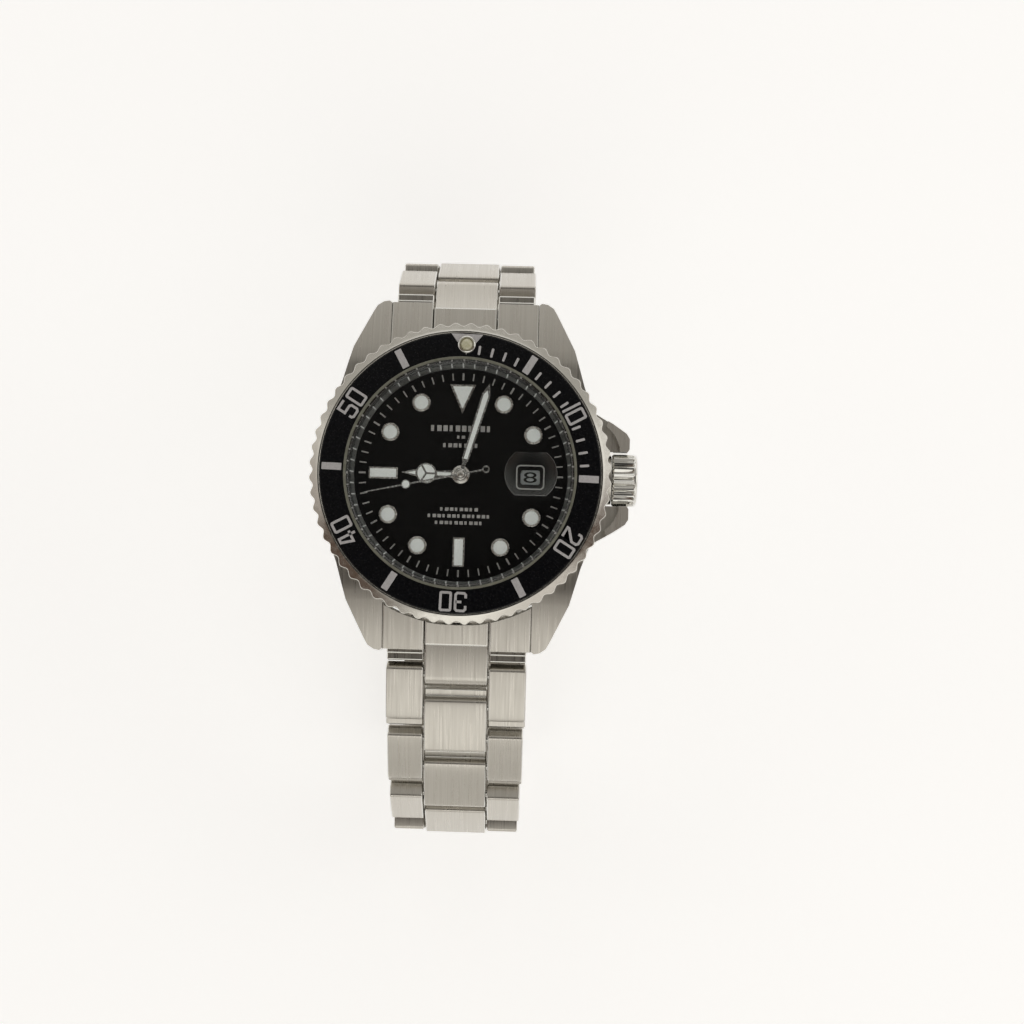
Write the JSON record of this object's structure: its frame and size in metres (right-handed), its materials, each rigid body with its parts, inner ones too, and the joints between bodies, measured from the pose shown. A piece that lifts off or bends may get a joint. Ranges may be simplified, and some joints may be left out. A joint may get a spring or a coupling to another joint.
{
  "type": "dive watch",
  "caption": "Dive watch with hands, a turning numbered bezel, a date lens, a side crown and a closed flat-link steel bracelet with a folding clasp.",
  "frame": {"origin": "on the outer face of the closed clasp, straight under the dial's axis", "axes": "+Z out of the dial, +Y towards 12 o'clock, +X towards the crown"},
  "size_m": [0.0436, 0.0811, 0.0529],
  "materials": {
    "steel_satin": "satin brushed stainless steel",
    "steel_polished": "polished stainless steel",
    "black_gloss": "glossy black",
    "dial_black": "gloss lacquer",
    "ring_grey": "satin grey",
    "crystal_glass": "clear mineral glass",
    "lume": "luminous paint",
    "brass": "machined brass",
    "nylon_white": "moulded nylon",
    "seal_rubber": "matt nitrile",
    "circuit_board": "solder mask",
    "copper_wire": "enamelled copper wire",
    "date_white": "matt white paint"
  },
  "bodies": {
    "head": {"case_middle": "steel_satin", "case_back": "steel_satin", "case_back_gasket": "seal_rubber", "crystal": "crystal_glass", "date_lens": "crystal_glass", "crystal_gasket": "nylon_white", "chapter_ring": "ring_grey", "bezel_click_spring": "steel_polished", "crown_tube": "steel_satin", "dial": "dial_black", "movement_holder": "nylon_white", "main_plate": "brass", "circuit_board": "circuit_board", "coil": "copper_wire", "stator": "steel_polished", "battery": "steel_polished", "train_bridge": "brass", "end_link_12": "steel_satin", "end_link_6": "steel_satin", "lug_bar_12": "steel_polished", "lug_bar_6": "steel_polished"},
    "bezel": {"bezel_ring": "steel_polished", "bezel_insert": "black_gloss", "bezel_pearl": "lume"},
    "crown_slide": {"setting_lever": "steel_polished"},
    "crown": {"crown": "steel_polished", "stem": "steel_polished", "clutch_wheel": "brass"},
    "seconds": {"seconds_wheel": "brass", "seconds_hand": "steel_polished"},
    "third": {"third_wheel": "brass"},
    "minutes": {"centre_wheel": "brass", "minute_hand": "steel_polished"},
    "motion": {"minute_wheel": "brass"},
    "hours": {"hour_wheel": "brass", "hour_hand": "steel_polished"},
    "rotor": {"rotor": "steel_polished"},
    "date": {"date_ring": "date_white"},
    "first_12": {"first_link_12": "steel_satin"},
    "first_6": {"first_link_6": "steel_satin"},
    "row_12_1": {"row_12_1": "steel_satin"},
    "row_12_2": {"row_12_2": "steel_satin"},
    "row_12_3": {"row_12_3": "steel_satin"},
    "row_12_4": {"row_12_4": "steel_satin"},
    "row_12_5": {"row_12_5": "steel_satin"},
    "row_12_6": {"row_12_6": "steel_satin"},
    "row_6_1": {"row_6_1": "steel_satin"},
    "row_6_2": {"row_6_2": "steel_satin"},
    "row_6_3": {"row_6_3": "steel_satin"},
    "row_6_4": {"row_6_4": "steel_satin"},
    "row_6_5": {"row_6_5": "steel_satin"},
    "row_6_6": {"row_6_6": "steel_satin"},
    "clasp": {"clasp_cover": "steel_satin", "clasp_spring_bar": "steel_polished", "clasp_hinge_pin": "steel_polished"},
    "outer_blade": {"clasp_outer_blade": "steel_satin", "clasp_fold_pin": "steel_polished"},
    "inner_blade": {"clasp_inner_blade": "steel_satin"},
    "button_right": {"clasp_button_right": "steel_polished"},
    "button_left": {"clasp_button_left": "steel_polished"}
  },
  "joints": [
    {"name": "bezel_turn", "type": "hinge", "parent": "head", "child": "bezel", "pos_m": [0, 0, 0.0502], "axis": [0, 0, 1], "continuous": true},
    {"name": "crown_pull", "type": "slide", "parent": "head", "child": "crown_slide", "axis": [1, 0, 0], "range_m": [0, 0.002]},
    {"name": "crown_turn", "type": "hinge", "parent": "crown_slide", "child": "crown", "pos_m": [0.02015, 0, 0.04525], "axis": [1, 0, 0], "continuous": true},
    {"name": "seconds_turn", "type": "hinge", "parent": "head", "child": "seconds", "pos_m": [0, 0, 0.04881], "axis": [0, 0, -1], "continuous": true},
    {"name": "third_turn", "type": "hinge", "parent": "head", "child": "third", "pos_m": [-0.00319, -0.00116, 0.0448], "axis": [0, 0, -1], "continuous": true},
    {"name": "minutes_turn", "type": "hinge", "parent": "head", "child": "minutes", "pos_m": [0, 0, 0.04831], "axis": [0, 0, -1], "continuous": true},
    {"name": "motion_turn", "type": "hinge", "parent": "head", "child": "motion", "pos_m": [0.001, -0.00173, 0.0468], "axis": [0, 0, -1], "continuous": true},
    {"name": "hours_turn", "type": "hinge", "parent": "head", "child": "hours", "pos_m": [0, 0, 0.04781], "axis": [0, 0, -1], "continuous": true},
    {"name": "rotor_turn", "type": "hinge", "parent": "head", "child": "rotor", "pos_m": [-0.00029, 0.00334, 0.04441], "axis": [0, 0, -1], "continuous": true},
    {"name": "date_turn", "type": "hinge", "parent": "head", "child": "date", "pos_m": [0, 0, 0.04691], "axis": [0, 0, -1], "continuous": true},
    {"name": "lug_12", "type": "hinge", "parent": "head", "child": "first_12", "pos_m": [0, 0.0213, 0.0439], "axis": [1, 0, 0], "range_deg": [0, 35]},
    {"name": "row_12_1_bend", "type": "hinge", "parent": "first_12", "child": "row_12_1", "pos_m": [0, 0.02572, 0.04081], "axis": [1, 0, 0], "range_deg": [0, 35]},
    {"name": "row_12_2_bend", "type": "hinge", "parent": "row_12_1", "child": "row_12_2", "pos_m": [0, 0.02961, 0.03247], "axis": [1, 0, 0], "range_deg": [0, 25]},
    {"name": "row_12_3_bend", "type": "hinge", "parent": "row_12_2", "child": "row_12_3", "pos_m": [0, 0.03041, 0.0233], "axis": [1, 0, 0], "range_deg": [0, 25]},
    {"name": "row_12_4_bend", "type": "hinge", "parent": "row_12_3", "child": "row_12_4", "pos_m": [0, 0.02803, 0.01442], "axis": [1, 0, 0], "range_deg": [0, 30]},
    {"name": "row_12_5_bend", "type": "hinge", "parent": "row_12_4", "child": "row_12_5", "pos_m": [0, 0.02212, 0.00737], "axis": [1, 0, 0], "range_deg": [0, 38]},
    {"name": "row_12_6_bend", "type": "hinge", "parent": "row_12_5", "child": "row_12_6", "pos_m": [0, 0.01332, 0.00468], "axis": [1, 0, 0], "range_deg": [0, 14]},
    {"name": "lug_6", "type": "hinge", "parent": "head", "child": "first_6", "pos_m": [0, -0.0213, 0.0439], "axis": [-1, 0, 0], "range_deg": [0, 12]},
    {"name": "row_6_1_bend", "type": "hinge", "parent": "first_6", "child": "row_6_1", "pos_m": [0, -0.02658, 0.04278], "axis": [-1, 0, 0], "range_deg": [0, 13]},
    {"name": "row_6_2_bend", "type": "hinge", "parent": "row_6_1", "child": "row_6_2", "pos_m": [0, -0.03523, 0.03963], "axis": [-1, 0, 0], "range_deg": [0, 19]},
    {"name": "row_6_3_bend", "type": "hinge", "parent": "row_6_2", "child": "row_6_3", "pos_m": [0, -0.04285, 0.03449], "axis": [-1, 0, 0], "range_deg": [0, 33]},
    {"name": "row_6_4_bend", "type": "hinge", "parent": "row_6_3", "child": "row_6_4", "pos_m": [0, -0.04717, 0.02637], "axis": [-1, 0, 0], "range_deg": [0, 31]},
    {"name": "row_6_5_bend", "type": "hinge", "parent": "row_6_4", "child": "row_6_5", "pos_m": [0, -0.0475, 0.01717], "axis": [-1, 0, 0], "range_deg": [0, 29]},
    {"name": "row_6_6_bend", "type": "hinge", "parent": "row_6_5", "child": "row_6_6", "pos_m": [0, -0.04405, 0.00864], "axis": [-1, 0, 0], "range_deg": [0, 38.26]},
    {"name": "clasp_open", "type": "hinge", "parent": "row_12_6", "child": "clasp", "pos_m": [0, 0.00421, 0.0034], "axis": [1, 0, 0], "range_deg": [0, 80]},
    {"name": "outer_blade_fold", "type": "hinge", "parent": "clasp", "child": "outer_blade", "pos_m": [0, -0.03299, 0.0019], "axis": [1, 0, 0], "range_deg": [0, 11.5]},
    {"name": "inner_blade_fold", "type": "hinge", "parent": "outer_blade", "child": "inner_blade", "pos_m": [0, -0.00239, 0.00305], "axis": [1, 0, 0], "range_deg": [-99.5, 0]},
    {"name": "button_right_press", "type": "slide", "parent": "clasp", "child": "button_right", "axis": [-1, 0, 0], "range_m": [0, 0.0008], "stiffness_N_per_m": 400},
    {"name": "button_left_press", "type": "slide", "parent": "clasp", "child": "button_left", "axis": [1, 0, 0], "range_m": [0, 0.0008], "stiffness_N_per_m": 400}
  ],
  "couplings": [
    {"joint": "third_turn", "follows": "seconds_turn", "ratio": -0.13333},
    {"joint": "minutes_turn", "follows": "seconds_turn", "ratio": 0.016667},
    {"joint": "motion_turn", "follows": "seconds_turn", "ratio": -0.0055556},
    {"joint": "hours_turn", "follows": "seconds_turn", "ratio": 0.0013889},
    {"joint": "rotor_turn", "follows": "seconds_turn", "ratio": -7.5},
    {"joint": "outer_blade_fold", "follows": "clasp_open", "ratio": 0.14},
    {"joint": "inner_blade_fold", "follows": "clasp_open", "ratio": -1.235}
  ]
}
